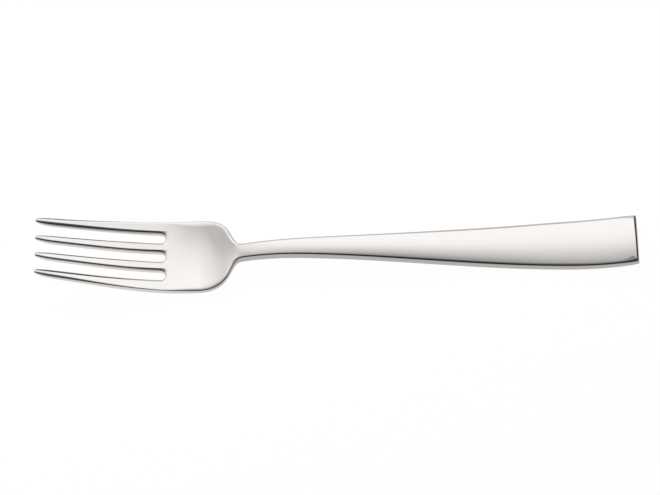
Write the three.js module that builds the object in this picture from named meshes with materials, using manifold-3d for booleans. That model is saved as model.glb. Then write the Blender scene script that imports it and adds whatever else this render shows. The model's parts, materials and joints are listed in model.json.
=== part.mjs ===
// Dessert fork in polished stainless steel: four tines, a dished head, a slim neck and a flared handle.
// Millimetres, +Z up. The fork lies on a table at z = 0, tips towards -X and handle end towards +X.
// The real fork is one piece of steel. Its zones are separate solids that meet face to face.
import * as THREE from 'three';
import { mergeVertices } from 'three/addons/utils/BufferGeometryUtils.js';
import Module from 'manifold-3d';

// Lengths of the zones, from the tine tips to the handle end
const TINE_LENGTH = 37.8;
const HEAD_LENGTH = 25.2;
const NECK_LENGTH = 21;
const HANDLE_LENGTH = 101;

// Outline seen from above: full widths, and how fast each half width changes there
const TIP_SPREAD = 20;
const TIP_SPREAD_SLOPE = 0.045;
const HEAD_WIDTH = 24.2;
const SHOULDER_LENGTH = 13.2;
const SHOULDER_ROUNDING = 11.7;
const NECK_ROUNDING = 4.4;
const NECK_WIDTH = 5.3;
const HANDLE_START_WIDTH = 6.35;
const HANDLE_START_SLOPE = 0.042;
const HANDLE_BROAD_WIDTH = 15.2;
const HANDLE_BROAD_SLOPE = 0.056;
const HANDLE_END_WIDTH = 16.75;
const HANDLE_END_SLOPE = 0.01;
const HANDLE_CORNER_RADIUS = 1.1;

// Side profile of the underside along the middle, measured up from the table
const TIP_HEIGHT = 11.95;
const TIP_SLOPE = -0.335;
const BELLY_FROM_SLOTS = 11.4;
const NECK_HEIGHT = 2.75;
const NECK_SLOPE = 0.255;
const ARCH_HEIGHT = 4.65;
const ARCH_SLOPE = -0.035;
const REST_LENGTH = 8;
const REST_FROM_END = 21;
const END_HEIGHT = 2.95;
const END_SLOPE = 0.28;

// Thickness of the steel in the middle of each section
const TINE_THICKNESS = 2;
const HEAD_THICKNESS = 2.45;
const NECK_THICKNESS = 3;
const HANDLE_START_THICKNESS = 3.1;
const HANDLE_THICKNESS = 3.45;
const END_THICKNESS = 3.2;

// Hollow of the head across its width, how much its rim thins from below, and crown of the handle's top face
const TIP_DISH = 0.3;
const SLOT_DISH = 0.35;
const HEAD_DISH = 0.75;
const SHOULDER_DISH = 0.8;
const SHOULDER_DISH_FROM_NECK = 5.5;
const SLOT_RIM_THINNING = 0.3;
const RIM_THINNING = 0.45;
const NECK_CROWN = 0.15;
const HANDLE_START_CROWN = 0.25;
const HANDLE_CROWN_SLOPE = 0.008;
const HANDLE_CROWN = 0.6;

// Rounded edges
const TINE_EDGE = 0.9;
const INNER_TINE_EDGE_SHARE = 0.65;
const HEAD_EDGE = 0.3;
const NECK_EDGE = 0.6;
const HANDLE_EDGE = 0.95;
const END_EDGE = 1.2;
const END_EDGE_LENGTH = 6;
const SLOT_EDGE = 0.1;
const SLOT_EDGE_LENGTH = 5;
const LEAST_FLAT = 0.1;

// Tines and the slots between them
const TINE_COUNT = 4;
const SLOT_WIDTH = 2.9;
const SLOT_MOUTH_WIDTH = 3.45;
const OUTER_TINE_EXTRA = 0.6;
const OUTER_TIP_EXTRA = 0.2;
const NOSE_LENGTH = 4;
const NOSE_WIDTH = 1.3;
const NOSE_THICKNESS = 0.9;

// Finish
const STEEL_COLOUR = 0xd8d9d8;
const STEEL_ROUGHNESS = 0.12;

// Fineness of the curves
const CURVE_STEPS = 5;
const TINE_CURVE_STEPS = 3;
const NOSE_SECTIONS = 6;
const TINE_SECTIONS = 10;
const HEAD_SECTIONS = 26;
const NECK_SECTIONS = 10;
const HANDLE_SECTIONS = 26;
const UPSWEEP_SECTIONS = 6;
const CORNER_SECTIONS = 5;
const SLOT_SIDES = 32;
const HALVINGS = 40;

// Places along the fork, measured from the tips
const slotEnds = TINE_LENGTH;
const belly = slotEnds + BELLY_FROM_SLOTS;
const neckStart = slotEnds + HEAD_LENGTH;
const shoulderStart = neckStart - SHOULDER_LENGTH;
const neckEnd = neckStart + NECK_LENGTH;
const forkLength = neckEnd + HANDLE_LENGTH;
const restEnd = forkLength - REST_FROM_END;
const restStart = restEnd - REST_LENGTH;
const cornerStart = forkLength - HANDLE_CORNER_RADIUS;

// One point that a smooth size passes through. A reach sets how far the curve follows the slope there.
const knot = (at, size, slope = 0, reachBack = null, reachOn = null) => ({ at, size, slope, reachBack, reachOn });

// A size that changes smoothly along the fork, as a function of the place
function along(...knots) {
  const curves = knots.slice(1).map((to, index) => {
    const from = knots[index];
    const third = (to.at - from.at) / 3;
    const reachOn = from.reachOn ?? third;
    const reachBack = to.reachBack ?? third;
    return new THREE.CubicBezierCurve(
      new THREE.Vector2(from.at, from.size),
      new THREE.Vector2(from.at + reachOn, from.size + reachOn * from.slope),
      new THREE.Vector2(to.at - reachBack, to.size - reachBack * to.slope),
      new THREE.Vector2(to.at, to.size),
    );
  });
  return (place) => {
    const curve = curves.find((each) => place <= each.v3.x) ?? curves.at(-1);
    let low = 0;
    let high = 1;
    for (let step = 0; step < HALVINGS; step += 1) {
      const middle = (low + high) / 2;
      const short = curve.getPoint(middle).x < place;
      low = short ? middle : low;
      high = short ? high : middle;
    }
    return curve.getPoint(high).y;
  };
}

const halfWidth = along(
  knot(0, TIP_SPREAD / 2, TIP_SPREAD_SLOPE),
  knot(shoulderStart, HEAD_WIDTH / 2, 0, null, SHOULDER_ROUNDING),
  knot(neckStart, NECK_WIDTH / 2, 0, NECK_ROUNDING),
  knot(neckEnd, HANDLE_START_WIDTH / 2, HANDLE_START_SLOPE),
  knot(restStart, HANDLE_BROAD_WIDTH / 2, HANDLE_BROAD_SLOPE),
  knot(forkLength, HANDLE_END_WIDTH / 2, HANDLE_END_SLOPE),
);

const underside = along(
  knot(0, TIP_HEIGHT, TIP_SLOPE),
  knot(belly, 0),
  knot(neckStart, NECK_HEIGHT, NECK_SLOPE),
  knot(neckEnd, ARCH_HEIGHT, ARCH_SLOPE),
  knot(restStart, 0),
  knot(restEnd, 0),
  knot(forkLength, END_HEIGHT, END_SLOPE),
);

const thickness = along(
  knot(0, TINE_THICKNESS),
  knot(slotEnds, HEAD_THICKNESS),
  knot(belly, HEAD_THICKNESS),
  knot(neckStart, NECK_THICKNESS),
  knot(neckEnd, HANDLE_START_THICKNESS),
  knot(restStart, HANDLE_THICKNESS),
  knot(restEnd, HANDLE_THICKNESS),
  knot(forkLength, END_THICKNESS),
);

const dish = along(
  knot(0, TIP_DISH),
  knot(slotEnds, SLOT_DISH),
  knot(belly, HEAD_DISH),
  knot(neckStart - SHOULDER_DISH_FROM_NECK, SHOULDER_DISH),
  knot(neckStart, 0),
  knot(forkLength, 0),
);
const thinning = along(
  knot(0, 0),
  knot(slotEnds, SLOT_RIM_THINNING),
  knot(belly, RIM_THINNING),
  knot(neckStart - SHOULDER_DISH_FROM_NECK, RIM_THINNING),
  knot(neckStart, 0),
  knot(forkLength, 0),
);
const crown = along(
  knot(0, 0),
  knot(belly, 0),
  knot(neckStart, NECK_CROWN),
  knot(neckEnd, HANDLE_START_CROWN, HANDLE_CROWN_SLOPE),
  knot(restStart, HANDLE_CROWN),
  knot(forkLength, HANDLE_CROWN),
);

const edgeRadius = along(
  knot(0, TINE_EDGE),
  knot(slotEnds, HEAD_EDGE),
  knot(shoulderStart, HEAD_EDGE),
  knot(neckStart, NECK_EDGE),
  knot(restEnd, HANDLE_EDGE),
  knot(forkLength - END_EDGE_LENGTH, HANDLE_EDGE),
  knot(forkLength, END_EDGE),
);

// A face of the steel at one place: a parabola across the fork, level in the middle
const topFace = (place) => ({
  middle: underside(place) + thickness(place),
  bend: (dish(place) - crown(place)) / halfWidth(place) ** 2,
});
const bottomFace = (place, lift = 0) => ({
  middle: underside(place) + lift,
  bend: (dish(place) + thinning(place)) / halfWidth(place) ** 2,
});
const heightOn = (face, y) => face.middle + face.bend * y * y;

// Adds the stretch of a face between two points as one curve that lies on the parabola
function followFace(shape, face, fromY, toY) {
  const middleY = (fromY + toY) / 2;
  const turnHeight = face.middle + face.bend * fromY * toY;
  shape.quadraticCurveTo(middleY, turnHeight, toY, heightOn(face, toY));
}

// Cross-section from y = left to y = right, with its own edge radius on each side
function section(place, left, right, leftEdge, rightEdge, lift = 0) {
  const top = topFace(place);
  const bottom = bottomFace(place, lift);
  const leftWall = heightOn(top, left) - heightOn(bottom, left);
  const rightWall = heightOn(top, right) - heightOn(bottom, right);
  const roundest = (wall) => Math.min(wall, right - left) / 2 - LEAST_FLAT;
  const leftRound = Math.min(leftEdge, roundest(leftWall));
  const rightRound = Math.min(rightEdge, roundest(rightWall));
  const innerLeft = left + leftRound;
  const innerRight = right - rightRound;
  const shape = new THREE.Shape();
  shape.moveTo(left, heightOn(bottom, left) + leftRound);
  shape.quadraticCurveTo(left, heightOn(bottom, left), innerLeft, heightOn(bottom, innerLeft));
  followFace(shape, bottom, innerLeft, innerRight);
  shape.quadraticCurveTo(right, heightOn(bottom, right), right, heightOn(bottom, right) + rightRound);
  shape.lineTo(right, heightOn(top, right) - rightRound);
  shape.quadraticCurveTo(right, heightOn(top, right), innerRight, heightOn(top, innerRight));
  followFace(shape, top, innerRight, innerLeft);
  shape.quadraticCurveTo(left, heightOn(top, left), left, heightOn(top, left) - leftRound);
  return shape;
}

// Evenly spaced places between two ends, both included
const spread = (from, to, steps) =>
  Array.from({ length: steps + 1 }, (_, index) => THREE.MathUtils.lerp(from, to, index / steps));

// Closed body through sections at the given places along the fork. The first half of each ring of points
// runs along the underside and the second half back along the top, so an end face is a strip between them.
function loft(places, sectionAt, curveSteps) {
  const rings = places.map((place) => sectionAt(place).getPoints(curveSteps));
  const count = rings[0].length;
  const positions = rings.flatMap((ring, row) =>
    ring.flatMap((point) => [places[row] - forkLength / 2, point.x, point.y]));
  const triangles = [];
  const addQuad = (a, b, c, d) => triangles.push(a, b, c, a, c, d);
  for (let row = 0; row < rings.length - 1; row += 1) {
    const here = row * count;
    const ahead = here + count;
    for (let column = 0; column < count; column += 1) {
      const next = (column + 1) % count;
      addQuad(here + column, here + next, ahead + next, ahead + column);
    }
  }
  const lastRing = positions.length / 3 - count;
  for (let low = 0; low < count / 2 - 1; low += 1) {
    const high = count - 1 - low;
    addQuad(low, high, high - 1, low + 1);
    addQuad(lastRing + low, lastRing + low + 1, lastRing + high - 1, lastRing + high);
  }
  const geometry = new THREE.BufferGeometry();
  geometry.setAttribute('position', new THREE.Float32BufferAttribute(positions, 3));
  geometry.setIndex(triangles);
  return geometry;
}

// Slots open a little towards the tips. Tines share what is left of the outline, the outer two a little wider.
const slotWidth = (place) => THREE.MathUtils.lerp(SLOT_MOUTH_WIDTH, SLOT_WIDTH, place / slotEnds);
const outerExtra = (place) => THREE.MathUtils.lerp(OUTER_TIP_EXTRA, OUTER_TINE_EXTRA, place / slotEnds);
const isOuter = (index) => index === 0 || index === TINE_COUNT - 1;
function tineWidth(place, index) {
  const slots = (TINE_COUNT - 1) * slotWidth(place);
  const inner = (2 * halfWidth(place) - slots - 2 * outerExtra(place)) / TINE_COUNT;
  return isOuter(index) ? inner + outerExtra(place) : inner;
}
function tineLeft(place, index) {
  let left = -halfWidth(place);
  for (let before = 0; before < index; before += 1) {
    left += tineWidth(place, before) + slotWidth(place);
  }
  return left;
}

// Tines round down to a blunt nose at the tip: 0 at the tip, 1 behind the nose
const noseShare = (place) => Math.sin((Math.PI / 2) * Math.min(place / NOSE_LENGTH, 1));

function tineGeometry(index) {
  const tineSection = (place) => {
    const share = noseShare(place);
    const full = tineWidth(place, index);
    const width = THREE.MathUtils.lerp(NOSE_WIDTH, full, share);
    const depth = THREE.MathUtils.lerp(NOSE_THICKNESS, thickness(place), share);
    const left = tineLeft(place, index) + (full - width) / 2;
    const fromSlots = Math.min((slotEnds - place) / SLOT_EDGE_LENGTH, 1);
    const outerEdge = edgeRadius(place) * (isOuter(index) ? 1 : INNER_TINE_EDGE_SHARE);
    const innerEdge = THREE.MathUtils.lerp(SLOT_EDGE, outerEdge, fromSlots);
    const leftEdge = index === 0 ? outerEdge : innerEdge;
    const rightEdge = index === TINE_COUNT - 1 ? outerEdge : innerEdge;
    return section(place, left, left + width, leftEdge, rightEdge, thickness(place) - depth);
  };
  const nose = spread(0, 1, NOSE_SECTIONS).map((step) => NOSE_LENGTH * (1 - Math.cos((Math.PI / 2) * step)));
  const shaft = spread(NOSE_LENGTH, slotEnds, TINE_SECTIONS).slice(1);
  return loft([...nose, ...shaft], tineSection, TINE_CURVE_STEPS);
}

// Section of the undivided steel behind the slots. The handle's corners are rounded seen from above.
function wholeSection(place) {
  const intoCorner = THREE.MathUtils.clamp(place - cornerStart, 0, HANDLE_CORNER_RADIUS);
  const pulledIn = HANDLE_CORNER_RADIUS - Math.sqrt(HANDLE_CORNER_RADIUS ** 2 - intoCorner ** 2);
  const half = halfWidth(place) - pulledIn;
  return section(place, -half, half, edgeRadius(place), edgeRadius(place));
}

const wasm = await Module();
wasm.setup();

function solidOf(geometry) {
  geometry.deleteAttribute('normal');
  geometry.deleteAttribute('uv');
  const merged = mergeVertices(geometry);
  return new wasm.Manifold(new wasm.Mesh({
    numProp: 3,
    vertProperties: merged.attributes.position.array,
    triVerts: Uint32Array.from(merged.index.array),
  }));
}

function geometryOf(solid) {
  const mesh = solid.getMesh();
  const geometry = new THREE.BufferGeometry();
  geometry.setAttribute('position', new THREE.BufferAttribute(mesh.vertProperties, 3));
  geometry.setIndex(new THREE.BufferAttribute(mesh.triVerts, 1));
  return geometry;
}

// The head carries the round ends of the slots
function headGeometry() {
  let head = solidOf(loft(spread(slotEnds, neckStart, HEAD_SECTIONS), wholeSection, CURVE_STEPS));
  const cutHeight = 2 * (TIP_HEIGHT + HEAD_THICKNESS + HEAD_DISH);
  for (let slot = 0; slot < TINE_COUNT - 1; slot += 1) {
    const cutter = new THREE.CylinderGeometry(SLOT_WIDTH / 2, SLOT_WIDTH / 2, cutHeight, SLOT_SIDES);
    cutter.rotateX(Math.PI / 2);
    const slotMiddle = tineLeft(slotEnds, slot + 1) - SLOT_WIDTH / 2;
    cutter.translate(slotEnds - forkLength / 2, slotMiddle, 0);
    head = head.subtract(solidOf(cutter));
  }
  return geometryOf(head);
}

const neckGeometry = () => loft(spread(neckStart, neckEnd, NECK_SECTIONS), wholeSection, CURVE_STEPS);

function handleGeometry() {
  const shaft = [...spread(neckEnd, restStart, HANDLE_SECTIONS), restEnd];
  const upsweep = spread(restEnd, cornerStart, UPSWEEP_SECTIONS).slice(1);
  const corner = spread(0, 1, CORNER_SECTIONS).slice(1)
    .map((step) => cornerStart + HANDLE_CORNER_RADIUS * Math.sin((Math.PI / 2) * step));
  return loft([...shaft, ...upsweep, ...corner], wholeSection, CURVE_STEPS);
}

function polishedSteel(name, geometry) {
  geometry.computeVertexNormals();
  const material = new THREE.MeshStandardMaterial({
    color: STEEL_COLOUR,
    roughness: STEEL_ROUGHNESS,
    metalness: 1,
  });
  const mesh = new THREE.Mesh(geometry, material);
  mesh.name = name;
  return mesh;
}

const fork = new THREE.Group();
for (let index = 0; index < TINE_COUNT; index += 1) {
  fork.add(polishedSteel(`tine_${index + 1}`, tineGeometry(index)));
}
fork.add(polishedSteel('head', headGeometry()));
fork.add(polishedSteel('neck', neckGeometry()));
fork.add(polishedSteel('handle', handleGeometry()));

export default fork;
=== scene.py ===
# %% [markdown]
# A dessert fork in polished stainless steel.
# The real fork is one piece: a blank is punched from sheet, rolled thin towards the tines, slotted,
# pressed to its curves and then buffed until it mirrors the room. This lesson models it as one smooth
# body in Blender, divides it into its seven zones, and sets it in a small photo studio, because
# polished steel looks like what stands around it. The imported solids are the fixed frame: they give the
# zones, the widest sizes and the table height.

# %% Load the solids that fix every place and size
import json
import math
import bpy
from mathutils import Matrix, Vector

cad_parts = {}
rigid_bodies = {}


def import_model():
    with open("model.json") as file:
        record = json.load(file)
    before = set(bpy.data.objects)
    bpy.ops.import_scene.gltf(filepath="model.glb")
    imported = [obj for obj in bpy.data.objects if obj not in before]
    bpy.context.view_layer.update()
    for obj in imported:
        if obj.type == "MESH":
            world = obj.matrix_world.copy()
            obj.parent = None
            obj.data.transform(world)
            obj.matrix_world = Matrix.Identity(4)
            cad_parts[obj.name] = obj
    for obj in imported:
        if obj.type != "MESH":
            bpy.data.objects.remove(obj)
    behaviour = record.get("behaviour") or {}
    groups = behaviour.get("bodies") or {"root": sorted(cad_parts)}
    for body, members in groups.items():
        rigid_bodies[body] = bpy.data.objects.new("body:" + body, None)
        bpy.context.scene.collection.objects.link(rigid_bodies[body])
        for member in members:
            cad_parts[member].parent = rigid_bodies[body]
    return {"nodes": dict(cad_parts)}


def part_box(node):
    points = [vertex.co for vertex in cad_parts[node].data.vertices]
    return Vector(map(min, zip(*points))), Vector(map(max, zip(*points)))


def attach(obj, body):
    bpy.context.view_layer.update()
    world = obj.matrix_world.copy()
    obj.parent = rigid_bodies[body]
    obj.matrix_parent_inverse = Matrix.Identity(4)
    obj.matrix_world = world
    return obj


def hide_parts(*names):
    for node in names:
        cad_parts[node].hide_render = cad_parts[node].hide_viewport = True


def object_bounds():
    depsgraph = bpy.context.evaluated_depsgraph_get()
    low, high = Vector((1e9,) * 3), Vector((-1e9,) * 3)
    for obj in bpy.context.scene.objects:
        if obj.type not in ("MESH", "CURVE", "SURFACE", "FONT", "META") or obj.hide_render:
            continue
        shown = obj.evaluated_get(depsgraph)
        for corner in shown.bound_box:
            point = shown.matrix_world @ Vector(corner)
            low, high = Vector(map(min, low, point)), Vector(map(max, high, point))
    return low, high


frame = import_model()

from types import SimpleNamespace

import bmesh
import bpy
from mathutils import Matrix, Vector

cad_low, cad_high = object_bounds()
print("solids:", sorted(frame["nodes"]), "box in metres:", cad_low[:], cad_high[:])

# %% [markdown]
# Cutlery is drawn in millimetres, so every size of the fork below is in millimetres, and a place is
# measured along the fork from the tine tips. The frame gives the places where the zones meet and the
# full width of the head. What the frame's boxes can't tell, such as the slope of the neck or the radius
# of an edge, is a named size.

# %% Places along the fork, read from the frame
MM = 0.001


def place_of(x):
    """Millimetres from the tine tips, for an x in metres."""
    return (x - cad_low.x) / MM


slot_ends = place_of(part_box("head")[0].x)
neck_start = place_of(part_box("neck")[0].x)
neck_end = place_of(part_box("handle")[0].x)
fork_length = place_of(cad_high.x)
head_width = (cad_high.y - cad_low.y) / MM
print("slots end at", round(slot_ends, 2), "neck", round(neck_start, 2), "to", round(neck_end, 2),
      "length", round(fork_length, 2), "head width", round(head_width, 2))

# %% [markdown]
# A press tool's curves are smooth, so a size should flow along the fork with no step. Each size is given
# at a few knots, with its slope there, and a cubic curve joins one knot to the next. A knot may reach
# further along its slope than a third of the way, which is how the shoulder stays full before it turns
# in to the neck. A curve object in Blender could do this too, but a plain function can be asked for the
# size at any place. It finds the place by halving, which is slow but easy to read.

# %% A size that flows along the fork
HALVINGS = 30


def knot(at, size, slope=0.0, reach_back=None, reach_on=None):
    """One size that the steel passes through, with how fast it changes there."""
    return SimpleNamespace(at=at, size=size, slope=slope, reach_back=reach_back, reach_on=reach_on)


def span_between(start, stop):
    """The four control points of the cubic curve from one knot to the next."""
    third = (stop.at - start.at) / 3
    on = third if start.reach_on is None else start.reach_on
    back = third if stop.reach_back is None else stop.reach_back
    return (
        Vector((start.at, start.size)),
        Vector((start.at + on, start.size + on * start.slope)),
        Vector((stop.at - back, stop.size - back * stop.slope)),
        Vector((stop.at, stop.size)),
    )


def on_span(span, share):
    """The point of a cubic span at a share of its way."""
    a, b, c, d = span
    rest = 1 - share
    return a * rest**3 + b * 3 * rest**2 * share + c * 3 * rest * share**2 + d * share**3


def along(*knots):
    """A function that gives the size at any place along the fork."""
    spans = [span_between(start, stop) for start, stop in zip(knots, knots[1:])]

    def size_at(place):
        span = next((each for each in spans if place <= each[-1].x), spans[-1])
        low, high = 0.0, 1.0
        for _ in range(HALVINGS):
            middle = (low + high) / 2
            if on_span(span, middle).x < place:
                low = middle
            else:
                high = middle
        return on_span(span, high).y

    return size_at


print("half way from 1 to 3:", round(along(knot(0, 1), knot(10, 3))(5), 3))

# %% [markdown]
# The outline is what the blanking punch cuts. From the tips it widens to the head, turns in at the
# shoulders to the slim neck, and flares slowly to the square end of the handle. It could be traced as a
# flat mesh, but a curve of half widths keeps both sides equal and gives the width wherever it is needed.

# %% The outline seen from above
SHOULDER_LENGTH = 13.2
SHOULDER_ROUNDING = 11.7
NECK_ROUNDING = 4.4
TIP_SPREAD = 20.0
TIP_SPREAD_SLOPE = 0.045
NECK_WIDTH = 5.3
HANDLE_START_WIDTH = 6.35
HANDLE_START_SLOPE = 0.042
HANDLE_BROAD_WIDTH = 15.2
HANDLE_BROAD_SLOPE = 0.056
HANDLE_END_WIDTH = 16.75
HANDLE_END_SLOPE = 0.01
REST_FROM_END = 21.0
REST_LENGTH = 8.0

shoulder_start = neck_start - SHOULDER_LENGTH
rest_end = fork_length - REST_FROM_END
rest_start = rest_end - REST_LENGTH
half_width = along(
    knot(0, TIP_SPREAD / 2, TIP_SPREAD_SLOPE),
    knot(shoulder_start, head_width / 2, reach_on=SHOULDER_ROUNDING),
    knot(neck_start, NECK_WIDTH / 2, reach_back=NECK_ROUNDING),
    knot(neck_end, HANDLE_START_WIDTH / 2, HANDLE_START_SLOPE),
    knot(rest_start, HANDLE_BROAD_WIDTH / 2, HANDLE_BROAD_SLOPE),
    knot(fork_length, HANDLE_END_WIDTH / 2, HANDLE_END_SLOPE),
)
print("half width at the tips, head, neck and end:",
      [round(half_width(place), 2) for place in (0, shoulder_start, neck_start, fork_length)])

# %% [markdown]
# The side profile is what the press gives. The tines rise to their tips, the belly of the head and a
# short flat under the handle rest on the table, and the neck arches between them. The steel is thinnest
# at the tines and thickest in the handle.

# %% The side profile: underside and thickness
TIP_HEIGHT = 11.95
TIP_SLOPE = -0.335
BELLY_FROM_SLOTS = 11.4
NECK_HEIGHT = 2.75
NECK_SLOPE = 0.255
ARCH_HEIGHT = 4.65
ARCH_SLOPE = -0.035
END_HEIGHT = 2.95
END_SLOPE = 0.28
TINE_THICKNESS = 2.0
HEAD_THICKNESS = 2.45
NECK_THICKNESS = 3.0
HANDLE_START_THICKNESS = 3.1
HANDLE_THICKNESS = 3.45
END_THICKNESS = 3.2

belly = slot_ends + BELLY_FROM_SLOTS
underside = along(
    knot(0, TIP_HEIGHT, TIP_SLOPE),
    knot(belly, 0),
    knot(neck_start, NECK_HEIGHT, NECK_SLOPE),
    knot(neck_end, ARCH_HEIGHT, ARCH_SLOPE),
    knot(rest_start, 0),
    knot(rest_end, 0),
    knot(fork_length, END_HEIGHT, END_SLOPE),
)
thickness = along(
    knot(0, TINE_THICKNESS),
    knot(slot_ends, HEAD_THICKNESS),
    knot(belly, HEAD_THICKNESS),
    knot(neck_start, NECK_THICKNESS),
    knot(neck_end, HANDLE_START_THICKNESS),
    knot(rest_start, HANDLE_THICKNESS),
    knot(rest_end, HANDLE_THICKNESS),
    knot(fork_length, END_THICKNESS),
)
print("underside at the tips", round(underside(0), 2), "at the neck", round(underside(neck_start), 2),
      "thickness there", round(thickness(0), 2), round(thickness(neck_start), 2))

# %% [markdown]
# Across its width the fork isn't flat either. The head is pressed hollow, so that it holds food, and its
# rim is rolled a little thinner. The handle keeps a slight crown, which is what makes its reflection fade
# from bright to grey across the width. All three bend as the square of the way to the edge.

# %% Across the fork: hollow, thinner rim and crown
TIP_DISH = 0.3
SLOT_DISH = 0.35
HEAD_DISH = 0.75
SHOULDER_DISH = 0.8
SHOULDER_DISH_FROM_NECK = 5.5
SLOT_RIM_THINNING = 0.3
RIM_THINNING = 0.45
NECK_CROWN = 0.15
HANDLE_START_CROWN = 0.25
HANDLE_CROWN_SLOPE = 0.008
HANDLE_CROWN = 0.6

dish_end = neck_start - SHOULDER_DISH_FROM_NECK
dish = along(
    knot(0, TIP_DISH),
    knot(slot_ends, SLOT_DISH),
    knot(belly, HEAD_DISH),
    knot(dish_end, SHOULDER_DISH),
    knot(neck_start, 0),
    knot(fork_length, 0),
)
thinning = along(
    knot(0, 0),
    knot(slot_ends, SLOT_RIM_THINNING),
    knot(belly, RIM_THINNING),
    knot(dish_end, RIM_THINNING),
    knot(neck_start, 0),
    knot(fork_length, 0),
)
crown = along(
    knot(0, 0),
    knot(belly, 0),
    knot(neck_start, NECK_CROWN),
    knot(neck_end, HANDLE_START_CROWN, HANDLE_CROWN_SLOPE),
    knot(rest_start, HANDLE_CROWN),
    knot(fork_length, HANDLE_CROWN),
)


def top_height(place, across):
    """Height of the top face above the table."""
    bend = (dish(place) - crown(place)) * (across / half_width(place)) ** 2
    return underside(place) + thickness(place) + bend


def bottom_height(place, across):
    """Height of the underside above the table, behind the tine noses."""
    bend = (dish(place) + thinning(place)) * (across / half_width(place)) ** 2
    return underside(place) + bend


print("top at the belly, the neck and the end:",
      [round(top_height(place, 0), 2) for place in (belly, neck_start, fork_length)])

# %% [markdown]
# Four tines and three slots share the width of the head. The outer tines are a little wider than the
# inner ones, and the slots open slightly towards the tips, so that the tool that cuts them comes out
# again. Each tine ends in a short rounded nose, ground from below so that it slides under food.

# %% The tines and the slots between them
TINES = 4
SLOT_WIDTH = 2.9
SLOT_MOUTH_WIDTH = 3.45
OUTER_TINE_EXTRA = 0.6
OUTER_TIP_EXTRA = 0.2
NOSE_LENGTH = 4.0
NOSE_WIDTH = 1.3
NOSE_THICKNESS = 0.9


def mix(start, stop, share):
    """A value between two others."""
    return start + (stop - start) * share


def slot_width(place):
    """Width of a slot."""
    return mix(SLOT_MOUTH_WIDTH, SLOT_WIDTH, place / slot_ends)


def tine_width(place, tine):
    """Width of a tine behind its nose."""
    extra = mix(OUTER_TIP_EXTRA, OUTER_TINE_EXTRA, place / slot_ends)
    inner = (2 * half_width(place) - (TINES - 1) * slot_width(place) - 2 * extra) / TINES
    return inner + extra if tine in (0, TINES - 1) else inner


def tine_middle(place, tine):
    """Where the middle of a tine lies across the fork."""
    left = -half_width(place)
    for before in range(tine):
        left += tine_width(place, before) + slot_width(place)
    return left + tine_width(place, tine) / 2


def slot_middle(slot):
    """Where the middle of a slot lies across the fork, at its round end."""
    return tine_middle(slot_ends, slot) + tine_width(slot_ends, slot) / 2 + SLOT_WIDTH / 2


def nose_share(place):
    """0 at the very tip and 1 behind the nose, in a quarter of a sine wave."""
    return math.sin(math.pi / 2 * min(place / NOSE_LENGTH, 1))


def steel_depth(place):
    """Thickness of the steel, with the noses ground thin from below."""
    return mix(NOSE_THICKNESS, thickness(place), nose_share(place))


print("slots lie at", [round(slot_middle(slot), 2) for slot in range(TINES - 1)])

# %% [markdown]
# The body starts as a flat lattice, the blank of the lesson. Boxes joined together would leave seams, and
# a mirror finish shows every seam, so one lattice covers the whole fork. Its rows stand close where the
# outline turns quickly and far apart where it runs straight.

# %% Rows along the fork
NOSE_ROWS = (0.0, 0.2, 0.5, 1.0)
TINE_ROWS = 10
HEAD_ROWS = 5
SHOULDER_ROWS = 14
NECK_ROWS = 10
HANDLE_ROWS = 18
REST_ROWS = 2
END_ROWS = 5
END_ROWS_STOP = 4.4
HANDLE_CORNER = 1.1


def rows_between(start, stop, steps):
    """Evenly spaced places after start, up to and with stop."""
    return [mix(start, stop, (step + 1) / steps) for step in range(steps)]


rows = [NOSE_LENGTH * share for share in NOSE_ROWS]
rows += rows_between(NOSE_LENGTH, slot_ends, TINE_ROWS)
slot_row = len(rows)
round_end = slot_ends + SLOT_WIDTH / 2
rows += [round_end]
rows += rows_between(round_end, shoulder_start, HEAD_ROWS)
rows += rows_between(shoulder_start, neck_start, SHOULDER_ROWS)
rows += rows_between(neck_start, neck_end, NECK_ROWS)
rows += rows_between(neck_end, rest_start, HANDLE_ROWS)
rows += rows_between(rest_start, rest_end, REST_ROWS)
rows += rows_between(rest_end, fork_length - END_ROWS_STOP, END_ROWS)
rows += [fork_length - HANDLE_CORNER, fork_length]
last_row = len(rows) - 1
print(len(rows), "rows, slots end at row", slot_row)

# %% [markdown]
# The columns are chosen for the tines: four faces for each tine, with a narrow one along each edge, and
# two for each slot. The slots' faces are deleted, as the slotting tool cuts them out. The rest is extruded
# once for the thickness, and the wall is cut into rings for the rounded edges. So far every corner sits at
# whole numbers (row, column, ring), which makes it easy to find again when it is shaped.

# %% A lattice with three slots, as thick as its rings
TINE_SEATS = (-1.0, -0.75, 0.0, 0.75, 1.0)
LAST_SEAT = len(TINE_SEATS) - 1
COLUMNS_PER_TINE = LAST_SEAT + 2
RINGS = 7
last_column = COLUMNS_PER_TINE * (TINES - 1) + LAST_SEAT

# A grid one unit wide is moved to start at zero and stretched, so that its corners sit at whole numbers.
lattice = bmesh.new()
bmesh.ops.create_grid(lattice, x_segments=last_row, y_segments=last_column, size=0.5)
bmesh.ops.translate(lattice, verts=lattice.verts, vec=(0.5, 0.5, 0))
bmesh.ops.scale(lattice, verts=lattice.verts, vec=(last_row, last_column, 1))


def in_slot(face):
    """Whether a face of the lattice lies between two tines."""
    middle = face.calc_center_median()
    return middle.x < slot_row and middle.y % COLUMNS_PER_TINE > LAST_SEAT


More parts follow.
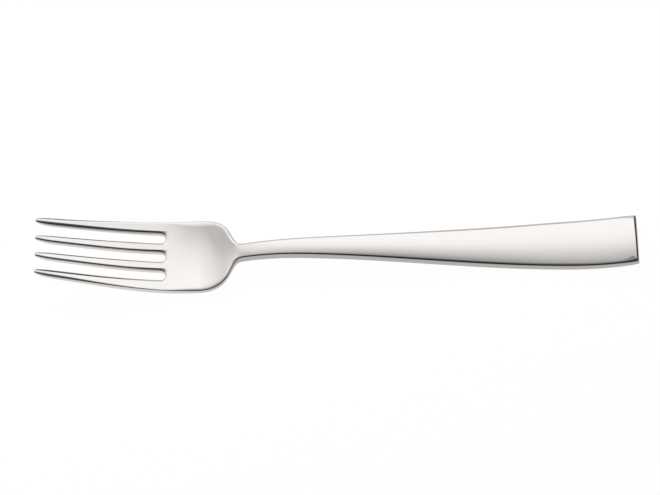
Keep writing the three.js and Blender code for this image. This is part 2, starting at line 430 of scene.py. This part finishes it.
slots = [face for face in lattice.faces if in_slot(face)]
bmesh.ops.delete(lattice, geom=slots, context="FACES")
copied = bmesh.ops.extrude_face_region(lattice, geom=lattice.faces[:], use_keep_orig=True)
lower = [item for item in copied["geom"] if isinstance(item, bmesh.types.BMVert)]
bmesh.ops.translate(lattice, verts=lower, vec=(0, 0, -RINGS))
uprights = [edge for edge in lattice.edges if abs(edge.verts[0].co.z - edge.verts[1].co.z) > 1]
bmesh.ops.subdivide_edges(lattice, edges=uprights, cuts=RINGS - 1, use_grid_fill=True)
print("lattice:", len(lattice.verts), "corners,", len(lattice.faces), "faces")

# %% [markdown]
# Now the lattice is bent to the fork. One function says where a corner lies in plan. It takes an inset, so
# that the same function gives the outline itself and the line further in where an edge starts to round
# over. On the tines a corner keeps its seat between the tine's two edges. Around a slot's round end the
# two edge columns swing out to the diagonals of the circle, and the middle one goes to its bottom. They are
# set a little outside the circle, because the smooth surface made later pulls inwards of its lattice.

# %% Where a corner lies in plan, on the tines and around the slots
SLOT_WALL_SWELL = 0.05
SLOT_DIAGONAL = 0.8
SLOT_DEPTH = 1.1
SLOT_CORNER_REACH = 1.5
SLOT_CORNER_ON = 0.6
TIP_CORNER = 0.25


def beside_slot(column):
    """Whether a column runs along the edge of a slot."""
    return 0 < column < last_column and column % COLUMNS_PER_TINE in (0, LAST_SEAT)


def plan_on_tine(row, column, inset):
    """Place and offset across the fork for a corner on a tine."""
    tine, seat = divmod(column, COLUMNS_PER_TINE)
    side = TINE_SEATS[seat]
    place = rows[row]
    half = mix(NOSE_WIDTH, tine_width(place, tine), nose_share(place)) / 2
    across = tine_middle(place, tine) + side * (half - inset)
    if row == 0:
        place += inset + side**2 * TIP_CORNER
    if row == slot_row - 1 and beside_slot(column):
        across -= side * SLOT_WALL_SWELL * (SLOT_WIDTH / 2 + inset)
    return place, across


def plan_on_slot_end(column, inset, rim):
    """Place and offset for the row that holds the slots' round ends."""
    tine, seat = divmod(column, COLUMNS_PER_TINE)
    radius = SLOT_WIDTH / 2 + inset
    if seat > LAST_SEAT:
        return slot_ends + SLOT_DEPTH * radius, slot_middle(tine)
    side = TINE_SEATS[seat]
    if not beside_slot(column):
        place = slot_ends + SLOT_DIAGONAL * (SLOT_WIDTH / 2 + rim)
        half = tine_width(slot_ends, tine) / 2 - inset
        return place, tine_middle(slot_ends, tine) + side * half
    slot = tine if seat else tine - 1
    onward = SLOT_DIAGONAL * (SLOT_WIDTH / 2 + SLOT_CORNER_ON * inset)
    aside = SLOT_DIAGONAL * (SLOT_WIDTH / 2 + SLOT_CORNER_REACH * inset)
    return slot_ends + onward, slot_middle(slot) - side * aside


print("near tip:", [round(value, 2) for value in plan_on_tine(0, 0, 0)],
      "first slot's bottom:", [round(value, 2) for value in plan_on_slot_end(LAST_SEAT + 1, 0, 0)])

# %% [markdown]
# Behind the slots a column lies at a share of the width. In front that share is where the tines put it,
# and further back the columns crowd towards the edges, where the steel turns over. The inset is taken
# square to the outline, so that an edge keeps its width around the shoulder, and the shift along the fork
# that this brings fades quickly away from the edge. At the handle's end the corners are pulled in a little,
# as a belt grinder leaves them.

# %% Where a corner lies in plan, on the head, neck and handle
CORNER_PULL = 0.19
SLOPE_STEP = 0.05
LEAN_POWER = 4
END_REACH = 2.3
END_BACK = 1.75


def smooth_step(share):
    """Eases from 0 to 1 with no jolt at either end."""
    share = min(max(share, 0.0), 1.0)
    return share * share * (3 - 2 * share)


def column_share(place, column, rim):
    """Where a column lies between the two edges, from -1 to 1."""
    _, at_slots = plan_on_slot_end(column, rim, rim)
    at_slots /= half_width(slot_ends) - rim
    crowded = math.sin(math.pi / 2 * (2 * column / last_column - 1))
    return mix(at_slots, crowded, smooth_step((place - round_end) / (shoulder_start - round_end)))


def plan_on_body(row, column, inset, rim):
    """Place and offset for a corner behind the slots."""
    place = rows[row]
    share = column_share(place, column, rim)
    slope = (half_width(place + SLOPE_STEP) - half_width(place - SLOPE_STEP)) / (2 * SLOPE_STEP)
    lean = inset / math.sqrt(1 + slope * slope)
    across = share * (half_width(place) - lean)
    place += slope * lean * share**LEAN_POWER
    if row >= last_row - 1:
        place = rows[row] - inset * END_BACK / END_REACH
    if row == last_row and column in (0, last_column):
        place -= CORNER_PULL * HANDLE_CORNER
        across -= math.copysign(CORNER_PULL * HANDLE_CORNER, across)
    return place, across


def plan(row, column, inset, rim):
    """Place and offset across the fork for any corner of the lattice."""
    if row < slot_row:
        return plan_on_tine(row, column, inset)
    if row == slot_row:
        return plan_on_slot_end(column, inset, rim)
    return plan_on_body(row, column, inset, rim)


print("near corner of the end:", [round(value, 2) for value in plan(last_row, 0, 0, 0)])

# %% [markdown]
# Every edge of a buffed fork is rounded, and the thin dark lines in its reflection are those edges. A
# rounded edge needs three rings: the start on the face, a corner pulled in, and the start on the wall. A
# smooth surface through them is close to a quarter circle when the corner is pulled in by about a fifth of
# the radius. A Bevel modifier would round all edges alike. Here the radius changes along the fork, and the
# top edges also reach further in over the face than they drop down the wall, or less far, zone by zone.

# %% How far each edge is rounded
TINE_EDGE = 0.9
INNER_TINE_EDGE_SHARE = 0.65
SLOT_END_EDGE = 0.8
SLOT_END_FROM = 26.0
HEAD_EDGE = 0.3
NECK_EDGE = 0.6
HANDLE_EDGE = 0.95
END_EDGE = 1.2
END_EDGE_LENGTH = 6.0
HEAD_REACH = 1.8
NECK_REACH = 0.7
HANDLE_REACH = 0.96
END_REACH_SLOPE = 0.35
STEEP_DROP = 1.35
FLAT_DROP = 0.85
END_DROP = 1.0

end_edge_start = fork_length - END_EDGE_LENGTH
edge_radius = along(
    knot(0, TINE_EDGE),
    knot(slot_ends, HEAD_EDGE),
    knot(shoulder_start, HEAD_EDGE),
    knot(neck_start, NECK_EDGE),
    knot(rest_end, HANDLE_EDGE),
    knot(end_edge_start, HANDLE_EDGE),
    knot(fork_length, END_EDGE),
)
edge_reach = along(
    knot(round_end, HEAD_EDGE),
    knot(shoulder_start, HEAD_REACH),
    knot(dish_end, HEAD_REACH),
    knot(neck_start, NECK_REACH),
    knot(rest_end, HANDLE_REACH),
    knot(end_edge_start, HANDLE_REACH),
    knot(fork_length, END_REACH, END_REACH_SLOPE),
)
drop_share = along(
    knot(0, STEEP_DROP),
    knot(neck_start, STEEP_DROP),
    knot(rest_start, FLAT_DROP),
    knot(end_edge_start, FLAT_DROP),
    knot(fork_length, END_DROP),
)


def edge_at(row, column):
    """Radius of an edge at a corner: less on the inner tines, more where a slot ends."""
    place = rows[row]
    if row > slot_row:
        return edge_radius(place)
    if row == slot_row:
        return SLOT_END_EDGE if beside_slot(column) else edge_radius(place)
    is_inner = 0 < column // COLUMNS_PER_TINE < TINES - 1
    share = INNER_TINE_EDGE_SHARE if is_inner else 1.0
    if beside_slot(column):
        near_end = smooth_step((place - SLOT_END_FROM) / (slot_ends - SLOT_END_FROM))
        return mix(share * TINE_EDGE, SLOT_END_EDGE, near_end)
    return share * edge_radius(place)


print("edges at the tips, head, neck and end:",
      [round(edge_radius(place), 2) for place in (0, shoulder_start, neck_start, fork_length)])

# %% [markdown]
# With the heights, the plan and the edges known, each corner of the lattice is sent to its place. The
# rounding of the top and of the underside may together take most of the wall, but never all of it, so that
# the rings don't cross.

# %% Give the lattice its real shape
TINE_REACH_SHARE = 1.2
EDGE_LIMIT = 0.45
WALL_START = 1.1
ROUND_INSET = (1.0, CORNER_PULL, 0.0, 0.0)
ROUND_DROP = (0.0, CORNER_PULL, 1.0, WALL_START)


def steel_point(row, column, ring):
    """Where a corner of the lattice lies on the fork, in millimetres from the tips."""
    at = rows[row]
    wall = steel_depth(at) - crown(at) - thinning(at)
    rim = min(edge_at(row, column), EDGE_LIMIT * wall)
    step = min(ring, RINGS - ring)
    if ring > RINGS / 2:
        place, across = plan(row, column, rim * ROUND_INSET[step], rim)
        ground = thickness(place) - steel_depth(place)
        rise = ground + rim * ROUND_DROP[step]
        return Vector((place, across, bottom_height(place, across) + rise))
    reach = max(rim, edge_reach(at)) if row > slot_row else rim * TINE_REACH_SHARE
    drop = min(drop_share(at) * rim, 2 * EDGE_LIMIT * wall - rim)
    place, across = plan(row, column, reach * ROUND_INSET[step], reach)
    return Vector((place, across, top_height(place, across) - drop * ROUND_DROP[step]))


tips = Vector((cad_low.x, 0, cad_low.z))
for corner in lattice.verts:
    row, column, ring = (round(value) for value in corner.co)
    corner.co = tips + steel_point(row, column, -ring) * MM
bmesh.ops.recalc_face_normals(lattice, faces=lattice.faces)
print("shaped:", [round(max(v.co[axis] for v in lattice.verts) / MM, 2) for axis in range(3)])

# %% [markdown]
# A Subdivision Surface turns the coarse lattice into smooth steel. It is the right tool for a buffed
# thing: the surface has no facets and hardly any sudden change of curve, and a mirror finish shows both at
# once. The result is read back as a plain mesh, so that it can be divided.

# %% Smooth the body
SMOOTH_LEVELS = 2


def mesh_of(name, body):
    """A mesh from a finished bmesh, which is then let go."""
    mesh = bpy.data.meshes.new(name)
    body.to_mesh(mesh)
    body.free()
    return mesh


def object_of(name, data):
    """An object that holds a mesh or a camera, linked to the scene."""
    made = bpy.data.objects.new(name, data)
    bpy.context.scene.collection.objects.link(made)
    return made


cage = mesh_of("fork_cage", lattice)
cage.shade_smooth()
cage_object = object_of("fork_cage", cage)
smoothing = cage_object.modifiers.new("buffed smooth", "SUBSURF")
smoothing.levels = SMOOTH_LEVELS
smoothing.render_levels = SMOOTH_LEVELS
smoothed = cage_object.evaluated_get(bpy.context.evaluated_depsgraph_get())
smooth_body = bpy.data.meshes.new_from_object(smoothed)
bpy.data.objects.remove(cage_object)
print("smooth body:", len(smooth_body.vertices), "vertices,", len(smooth_body.polygons), "faces")

# %% [markdown]
# The real fork has no joints, but the solids are divided into zones, and each zone gets its own piece here.
# A plane cuts the smooth body where two zones meet, and the cut is closed with a flat face. A cut would
# show as a line in the reflection if each piece worked out its own shading, so every vertex first stores
# the direction of the whole body's surface, and the pieces keep it.

# %% Tools that divide the body
NORMAL = "steel_normal"
LENGTHWISE = Vector((1, 0, 0))
CUT_TOLERANCE = 1e-7


def keep_between(body, low, high):
    """Cuts the body at two places along the fork, keeps what lies between, and closes the cuts."""
    for limit, outward in ((low, -LENGTHWISE), (high, LENGTHWISE)):
        if limit is None:
            continue
        everything = body.verts[:] + body.edges[:] + body.faces[:]
        bmesh.ops.bisect_plane(
            body, geom=everything, plane_co=(limit, 0, 0), plane_no=outward, clear_outer=True)
        open_edges = [edge for edge in body.edges if edge.is_boundary]
        bmesh.ops.edgeloop_fill(body, edges=open_edges)


def keep_lane(body, low, high):
    """Deletes what lies outside a lane along the fork, which leaves one tine of four."""
    outside = [vert for vert in body.verts if not low < vert.co.y < high]
    bmesh.ops.delete(body, geom=outside, context="VERTS")


def shade_as_whole(mesh, cuts):
    """Gives the outside the whole body's shading and leaves the cut faces flat."""
    stored = mesh.attributes[NORMAL].data
    directions = [Vector()] * len(mesh.loops)
    for face in mesh.polygons:
        is_cut = any(cut is not None and abs(face.center.x - cut) < CUT_TOLERANCE for cut in cuts)
        for loop in face.loop_indices:
            vector = face.normal if is_cut else stored[mesh.loops[loop].vertex_index].vector
            directions[loop] = Vector(vector).normalized()
    mesh.attributes.remove(mesh.attributes[NORMAL])
    mesh.normals_split_custom_set(directions)


def zone_piece(name, low, high, lane=None):
    """One zone of the fork as its own object, shaded as part of the whole."""
    body = bmesh.new()
    body.from_mesh(smooth_body)
    normal = body.verts.layers.float_vector.new(NORMAL)
    for vert in body.verts:
        vert[normal] = vert.normal
    keep_between(body, low, high)
    if lane:
        keep_lane(body, *lane)
    bmesh.ops.recalc_face_normals(body, faces=body.faces)
    mesh = mesh_of(name, body)
    shade_as_whole(mesh, (low, high))
    print(name, len(mesh.polygons), "faces")
    return object_of(name, mesh)


print("cuts at", [round(place, 2) for place in (slot_ends, neck_start, neck_end)], "mm from the tips")

# %% [markdown]
# The cut at the slots' ends leaves four tines side by side. Each one lies in a lane between the middles of
# two slots, so the lane picks it out.

# %% The seven pieces
def x_of(place):
    """An x in metres, for a place in millimetres from the tips."""
    return cad_low.x + place * MM


lanes = [cad_low.y, *(slot_middle(slot) * MM for slot in range(TINES - 1)), cad_high.y]
pieces = {}
for tine in range(TINES):
    node = f"tine_{tine + 1}"
    lane = (lanes[tine], lanes[tine + 1])
    pieces[node] = zone_piece(f"polished_{node}", None, x_of(slot_ends), lane)
pieces["head"] = zone_piece("polished_head", x_of(slot_ends), x_of(neck_start))
pieces["neck"] = zone_piece("polished_neck", x_of(neck_start), x_of(neck_end))
pieces["handle"] = zone_piece("polished_handle", x_of(neck_end), None)
bpy.data.meshes.remove(smooth_body)
print(len(pieces), "pieces")

# %% [markdown]
# Materials are built from nodes. Two small helpers keep that short: one turns the hex value of a colour,
# as a colour picker shows it, into the linear light that Blender works with, and the other adds a node
# with its settings and links in one go.

# %% Helpers for materials
def linear(hex_colour):
    """A linear RGBA colour from an sRGB hex value."""
    channels = [int(hex_colour[start:start + 2], 16) / 255 for start in (1, 3, 5)]
    return (*(c / 12.92 if c <= 0.04045 else ((c + 0.055) / 1.055) ** 2.4 for c in channels), 1.0)


def add_node(tree, kind, sockets=None, **settings):
    """Adds a node, sets its properties, and sets or links its sockets."""
    node = tree.nodes.new(kind)
    for name, value in settings.items():
        setattr(node, name, value)
    for name, value in (sockets or {}).items():
        if isinstance(value, bpy.types.NodeSocket):
            tree.links.new(value, node.inputs[name])
        else:
            node.inputs[name].default_value = value
    return node


def empty_tree(owner):
    """The owner's node tree with nothing in it."""
    owner.use_nodes = True
    owner.node_tree.nodes.clear()
    return owner.node_tree


print("middle grey in linear light:", [round(value, 3) for value in linear("#808080")])

# %% [markdown]
# The steel is the common cutlery grade with 18 parts of chromium and 10 of nickel. It is ground, then
# buffed with paste, which leaves a bright mirror that is very slightly soft: fine lines along the fork and
# a faint cloudiness where the buff turned. A metal has no colour of its own beside its reflection, so the
# base colour is the share of light that it sends back, a neutral grey with a trace of warmth. The lines
# and the clouds change the softness and the tint a little, because one flat value looks like plastic.

# %% Buffed 18/10 stainless steel
BUFF_LINE = 0.35
BUFF_LINE_LENGTH = 30.0
BUFF_LINE_DETAIL = 2.0
BUFF_LINE_DEPTH = 0.02
BUFF_LINE_STRENGTH = 0.02
CLOUD = 9.0
CLOUD_DETAIL = 3.0
LINES_SHARE = 0.5
NOISE_LOW = 0.3
NOISE_HIGH = 0.7
BRIGHTEST_BUFF = 0.05
SOFTEST_BUFF = 0.1
STEEL_DARK = "#d7d3d1"
STEEL_LIGHT = "#dad6d4"


def buffed_stainless_steel():
    """A bright mirror, a little soft, with faint lines along the fork left by the buffing wheel."""
    material = bpy.data.materials.new("buffed_18_10_stainless_steel")
    tree = empty_tree(material)
    here = add_node(tree, "ShaderNodeTexCoord").outputs["Object"]
    # A real buffing line is a few hundredths of a millimetre wide. It is drawn wider, so that it shows.
    stretched = add_node(tree, "ShaderNodeMapping", {
        "Vector": here,
        "Scale": (1 / (BUFF_LINE_LENGTH * MM), 1 / (BUFF_LINE * MM), 1 / (BUFF_LINE * MM)),
    })
    lines = add_node(tree, "ShaderNodeTexNoise", {
        "Vector": stretched.outputs[0], "Scale": 1.0, "Detail": BUFF_LINE_DETAIL,
    })
    clouds = add_node(tree, "ShaderNodeTexNoise", {
        "Vector": here, "Scale": 1 / (CLOUD * MM), "Detail": CLOUD_DETAIL,
    })
    both = add_node(tree, "ShaderNodeMix", {
        "Factor": LINES_SHARE, "A": clouds.outputs["Fac"], "B": lines.outputs["Fac"],
    })
    softness = add_node(tree, "ShaderNodeMapRange", {
        "Value": both.outputs[0],
        "From Min": NOISE_LOW, "From Max": NOISE_HIGH,
        "To Min": BRIGHTEST_BUFF, "To Max": SOFTEST_BUFF,
    })
    tint = add_node(tree, "ShaderNodeMix", {
        "Factor": clouds.outputs["Fac"], "A": linear(STEEL_DARK), "B": linear(STEEL_LIGHT),
    }, data_type="RGBA")
    grain = add_node(tree, "ShaderNodeBump", {
        "Height": lines.outputs["Fac"], "Strength": BUFF_LINE_STRENGTH, "Distance": BUFF_LINE_DEPTH * MM,
    })
    steel = add_node(tree, "ShaderNodeBsdfPrincipled", {
        "Base Color": tint.outputs["Result"],
        "Metallic": 1.0,
        "Roughness": softness.outputs["Result"],
        "Normal": grain.outputs["Normal"],
    })
    add_node(tree, "ShaderNodeOutputMaterial", {"Surface": steel.outputs["BSDF"]})
    return material


steel = buffed_stainless_steel()
print("steel made of", len(steel.node_tree.nodes), "nodes")

# %% [markdown]
# Every piece gets the same steel in its material slot and rides on the root body. Its name holds the name
# of the solid of the frame that it takes the place of, and that solid is hidden.

# %% Put the steel on the pieces
for node, piece in pieces.items():
    piece.data.materials.append(steel)
    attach(piece, "root")
    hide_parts(node)
print("steel on", len(pieces), "pieces")

# %% [markdown]
# The fork lies on a white table with a matt laminate top. More light would make the table white, but it
# would also burn out the steel, so the table glows for the camera and for reflections only, and it still
# takes the fork's soft shadow. In reflections its glow is lower by the handle than by the tines, which is
# painted shade for a table that is away from its bright side, and which keeps the handle's wall apart from
# the white around it. The studio's sizes are in metres. Only the hair's breadth between the fork and the
# table is still in millimetres.

# %% Matt white laminate
TABLE_TOP = "#616161"
TABLE_GLOW = 0.96
TABLE_BY_TINES = 0.9
# Painted shade: the table's glow in reflections is lower by the handle than by the tines.
PAINTED_SHADE_GLOW_BY_HANDLE = 0.6
PAINTED_SHADE_FADE_FROM = -0.05
PAINTED_SHADE_FADE_TO = -0.03


def white_laminate():
    """Matt white that glows for the camera and for reflections only, with painted shade by the handle in
    reflections.
    """
    material = bpy.data.materials.new("matt_white_laminate")
    tree = empty_tree(material)
    path = add_node(tree, "ShaderNodeLightPath").outputs
    mirrored = add_node(tree, "ShaderNodeMath", {
        0: path["Is Glossy Ray"], 1: path["Is Transmission Ray"],
    }, operation="MAXIMUM")
    here = add_node(tree, "ShaderNodeTexCoord").outputs["Object"]
    along_fork = add_node(tree, "ShaderNodeSeparateXYZ", {"Vector": here}).outputs["X"]
    # Painted shade: in reflections the table's glow fades from the tines' level down to a lower level by the
    # handle.
    reflected_glow_with_painted_shade = add_node(tree, "ShaderNodeMapRange", {
        "Value": along_fork,
        "From Min": PAINTED_SHADE_FADE_FROM, "From Max": PAINTED_SHADE_FADE_TO,
        "To Min": TABLE_BY_TINES, "To Max": PAINTED_SHADE_GLOW_BY_HANDLE,
    }, interpolation_type="SMOOTHSTEP")
    faint = add_node(tree, "ShaderNodeMath", {
        0: mirrored.outputs[0], 1: reflected_glow_with_painted_shade.outputs["Result"],
    }, operation="MULTIPLY")
    level = add_node(tree, "ShaderNodeMath", {
        0: path["Is Camera Ray"], 1: TABLE_GLOW, 2: faint.outputs[0],
    }, operation="MULTIPLY_ADD")
    matt = add_node(tree, "ShaderNodeBsdfDiffuse", {"Color": linear(TABLE_TOP)})
    glow = add_node(tree, "ShaderNodeEmission", {"Strength": level.outputs[0]})
    both = add_node(tree, "ShaderNodeAddShader", {0: matt.outputs[0], 1: glow.outputs[0]})
    add_node(tree, "ShaderNodeOutputMaterial", {"Surface": both.outputs[0]})
    return material


laminate = white_laminate()
print("laminate made of", len(laminate.node_tree.nodes), "nodes")

# %% The white table
TABLE_SIZE = 8.0
TABLE_DROP = 0.02

flat = bmesh.new()
bmesh.ops.create_grid(flat, x_segments=1, y_segments=1, size=TABLE_SIZE / 2)
bmesh.ops.translate(flat, verts=flat.verts, vec=(0, 0, cad_low.z - TABLE_DROP * MM))
table = object_of("white_table", mesh_of("white_table", flat))
table.data.materials.append(laminate)
print("table", TABLE_SIZE, "m wide")

# %% [markdown]
# Polished steel is lit by what it mirrors, so the lights of this studio are pictures for the steel to
# mirror. A lamp has hard edges in a mirror. A lit cloth can fade, and two helpers draw such fades: one along
# a line, from stop to stop, and one that multiplies two of them to a patch of light with soft edges. A stop
# is a pair: a place on the line, and the level of light there.

# %% Fades of light
def fade_of_light(tree, value, stops):
    """A smooth fade over a value, through a level of light at each stop."""
    first, last = stops[0][0], stops[-1][0]
    share = add_node(tree, "ShaderNodeMapRange", {"Value": value, "From Min": first, "From Max": last})
    ramp = add_node(tree, "ShaderNodeValToRGB", {"Fac": share.outputs["Result"]})
    ramp.color_ramp.interpolation = "B_SPLINE"
    while len(ramp.color_ramp.elements) < len(stops):
        ramp.color_ramp.elements.new(0.5)
    for element, (at, level) in zip(ramp.color_ramp.elements, stops):
        element.position = (at - first) / (last - first)
        element.color = (level, level, level, 1)
    return ramp.outputs["Color"]


def patch_of_light(tree, sideways, sides, onward, depth):
    """A patch of light with soft edges on all four sides."""
    return add_node(tree, "ShaderNodeMix", {
        "Factor": 1.0,
        "A": fade_of_light(tree, sideways, sides),
        "B": fade_of_light(tree, onward, depth),
    }, data_type="RGBA", blend_type="MULTIPLY").outputs["Result"]


print("helpers for light:", fade_of_light.__name__, patch_of_light.__name__)

# %% [markdown]
# A wide round cloth hangs over the fork. Its back half is a soft light that fades to the sides, and its
# front half is black felt, which draws the thin dark lines along the near edges. The cloth hangs close, so
# the two ends of the fork mirror different parts of it, and the light's left and right edges run aslant,
# which tilts the shade across the head. Three weak cards fill what would be too dark: one on the left for
# the head, one overhead, and one far in front, which the fork mirrors when it is seen from behind. The
# cloth is hidden from the camera, which would otherwise look at its back from some sides.

# %% The light and the cards on the cloth
CLOTH_LIGHT = 1.42
FRONT_TO_BACK = (
    (-0.15, 0.0), (-0.02, 0.0), (0.02, 0.02), (0.04, 0.13), (0.06, 0.28), (0.08, 0.4), (0.1, 0.51),
    (0.15, 0.75), (0.2, 0.91), (0.26, 0.97), (0.32, 0.98), (0.6, 0.98), (0.8, 0.5),
)
LEFT_SKEW = 0.88
FROM_LEFT = (
    (-0.36, 0.5), (-0.22, 0.52), (-0.16, 0.54), (-0.11, 0.61), (-0.06, 0.78), (0.01, 0.87),
    (0.06, 0.91), (0.12, 0.98), (0.2, 1.0),
)
RIGHT_SKEW = 0.2
TO_RIGHT = ((0.18, 1.0), (0.23, 1.0), (0.262, 0.5), (0.295, 0.0), (0.34, 0.0))
LEFT_CARD_SIDES = ((-0.6, 0.3), (-0.4, 0.52), (-0.15, 0.52), (-0.05, 0.3), (0.05, 0.0))
LEFT_CARD_DEPTH = ((0.02, 0.0), (0.05, 0.3), (0.09, 1.0), (0.12, 1.0))
FRONT_CARD_SIDES = ((-0.5, 0.0), (-0.3, 0.3), (0.0, 0.3), (0.3, 0.3), (0.4, 0.2), (0.5, 0.0))
FRONT_CARD_DEPTH = (
    (-1.2, 1.0), (-0.75, 1.0), (-0.65, 1.0), (-0.57, 0.5), (-0.48, 0.0), (-0.4, 0.0),
)
OVERHEAD_CARD_SIDES = (
    (-0.4, 0.0), (-0.3, 0.24), (-0.1, 0.24), (0.04, 0.24), (0.09, 0.16), (0.14, 0.0),
)
OVERHEAD_CARD_DEPTH = ((-0.18, 0.0), (-0.12, 0.2), (-0.07, 1.0), (0.03, 1.0), (0.08, 1.0))
FELT = "#111a16"
print("strongest light:", round(CLOTH_LIGHT * max(level for _, level in FRONT_TO_BACK), 2))


# %% Lit diffuser cloth
def lit_cloth():
    """White diffuser behind and black felt in front, with three cards."""
    material = bpy.data.materials.new("lit_diffuser_cloth")
    tree = empty_tree(material)
    here = add_node(tree, "ShaderNodeTexCoord").outputs["Object"]
    spot = add_node(tree, "ShaderNodeSeparateXYZ", {"Vector": here}).outputs
    leftness = add_node(tree, "ShaderNodeMath", {
        0: spot["Y"], 1: LEFT_SKEW, 2: spot["X"],
    }, operation="MULTIPLY_ADD").outputs[0]
    rightness = add_node(tree, "ShaderNodeMath", {
        0: spot["Y"], 1: RIGHT_SKEW, 2: spot["X"],
    }, operation="MULTIPLY_ADD").outputs[0]
    back = patch_of_light(tree, rightness, TO_RIGHT, spot["Y"], FRONT_TO_BACK)
    light = add_node(tree, "ShaderNodeMix", {
        "Factor": 1.0, "A": back, "B": fade_of_light(tree, leftness, FROM_LEFT),
    }, data_type="RGBA", blend_type="MULTIPLY").outputs["Result"]
    cards = (
        (LEFT_CARD_SIDES, LEFT_CARD_DEPTH),
        (FRONT_CARD_SIDES, FRONT_CARD_DEPTH),
        (OVERHEAD_CARD_SIDES, OVERHEAD_CARD_DEPTH),
    )
    for sides, depth in cards:
        card = patch_of_light(tree, spot["X"], sides, spot["Y"], depth)
        light = add_node(tree, "ShaderNodeMix", {
            "Factor": 1.0, "A": light, "B": card,
        }, data_type="RGBA", blend_type="LIGHTEN").outputs["Result"]
    lifted = add_node(tree, "ShaderNodeMix", {
        "Factor": 1.0, "A": light, "B": linear(FELT),
    }, data_type="RGBA", blend_type="ADD").outputs["Result"]
    glow = add_node(tree, "ShaderNodeEmission", {"Color": lifted, "Strength": CLOTH_LIGHT})
    add_node(tree, "ShaderNodeOutputMaterial", {"Surface": glow.outputs[0]})
    return material


diffuser = lit_cloth()
print("cloth made of", len(diffuser.node_tree.nodes), "nodes")

# %% Hang the cloth over the fork
CLOTH_HEIGHT = 0.4
CLOTH_RADIUS = 0.95
CLOTH_SIDES = 64

flat = bmesh.new()
bmesh.ops.create_circle(flat, cap_ends=True, segments=CLOTH_SIDES, radius=CLOTH_RADIUS)
bmesh.ops.translate(flat, verts=flat.verts, vec=(0, 0, CLOTH_HEIGHT))
cloth = object_of("cloth", mesh_of("cloth", flat))
cloth.data.materials.append(diffuser)
cloth.visible_camera = False
print("cloth", [round(value, 2) for value in cloth.dimensions], "m")

# %% [markdown]
# Past the rim of the cloth the steel mirrors the room, low down on all sides. A world with one colour would
# wash out the dark lines, and a black one would leave the fork dark from behind. So the room is bright at
# the back and dark on the right, and its front wall is lit more weakly. A room has no end, so the places of
# its stops are directions, from -1 to 1. The camera itself sees plain white.

# %% The room around the cloth
ROOM_LEFT_TO_RIGHT = (
    (-1.0, 0.4), (-0.4, 0.9), (0.0, 1.0), (0.12, 1.0), (0.25, 0.2), (0.35, 0.0), (1.0, 0.0),
)
ROOM_FRONT_TO_BACK = ((-1.0, 0.03), (0.0, 0.05), (0.5, 0.4), (0.8, 0.8), (1.0, 0.8))
FRONT_WALL = ((-1.0, 0.54), (-0.2, 0.54), (-0.1, 0.54), (0.0, 0.27), (0.1, 0.0), (0.2, 0.0))
WHITE = "#ffffff"

room = bpy.data.worlds.new("room")
bpy.context.scene.world = room
sky = empty_tree(room)
direction = add_node(sky, "ShaderNodeTexCoord").outputs["Generated"]
towards = add_node(sky, "ShaderNodeSeparateXYZ", {"Vector": direction}).outputs
behind = patch_of_light(sky, towards["X"], ROOM_LEFT_TO_RIGHT, towards["Y"], ROOM_FRONT_TO_BACK)
walls = add_node(sky, "ShaderNodeMix", {
    "Factor": 1.0, "A": behind, "B": fade_of_light(sky, towards["Y"], FRONT_WALL),
}, data_type="RGBA", blend_type="LIGHTEN")
is_camera = add_node(sky, "ShaderNodeLightPath").outputs["Is Camera Ray"]
seen = add_node(sky, "ShaderNodeMix", {
    "Factor": is_camera, "A": walls.outputs["Result"], "B": linear(WHITE),
}, data_type="RGBA")
background = add_node(sky, "ShaderNodeBackground", {"Color": seen.outputs["Result"]})
add_node(sky, "ShaderNodeOutputWorld", {"Surface": background.outputs[0]})
print("room with", len(sky.nodes), "nodes")

# %% [markdown]
# The camera looks down at the fork from the front with a long lens, which keeps its outline nearly
# parallel. Its tilt, turn and roll come from fitting the solids' outline to the photograph. The picture's
# middle is moved by moving the camera sideways, not by shifting the lens.

# %% The camera
IMAGE_WIDTH = 660
SENSOR = 36.0
ELEVATION = math.radians(63)
TURN = math.radians(-3.233)
ROLL = math.radians(4.81)
DISTANCE = 921.6
PIXELS_PER_MM = 3.2294
ORIGIN_RIGHT_PX = 7.8
ORIGIN_DOWN_PX = 8.027

towards_camera = Vector((
    -math.sin(TURN) * math.cos(ELEVATION),
    -math.cos(TURN) * math.cos(ELEVATION),
    math.sin(ELEVATION),
))
level_right = Vector((math.cos(TURN), -math.sin(TURN), 0))
level_up = towards_camera.cross(level_right)
right = level_right * math.cos(ROLL) - level_up * math.sin(ROLL)
up = level_right * math.sin(ROLL) + level_up * math.cos(ROLL)
sideways = up * (ORIGIN_DOWN_PX / PIXELS_PER_MM) - right * (ORIGIN_RIGHT_PX / PIXELS_PER_MM)

camera_data = bpy.data.cameras.new("camera")
camera_data.sensor_width = SENSOR
camera_data.lens = DISTANCE * PIXELS_PER_MM / IMAGE_WIDTH * SENSOR
camera = object_of("camera", camera_data)
turned = Matrix((right, up, towards_camera)).transposed().to_4x4()
camera.matrix_world = Matrix.Translation((towards_camera * DISTANCE + sideways) * MM) @ turned
bpy.context.scene.camera = camera
bpy.context.scene.view_settings.view_transform = "Standard"
print("lens", round(camera_data.lens, 1), "mm, camera at", [round(value, 3) for value in camera.location])
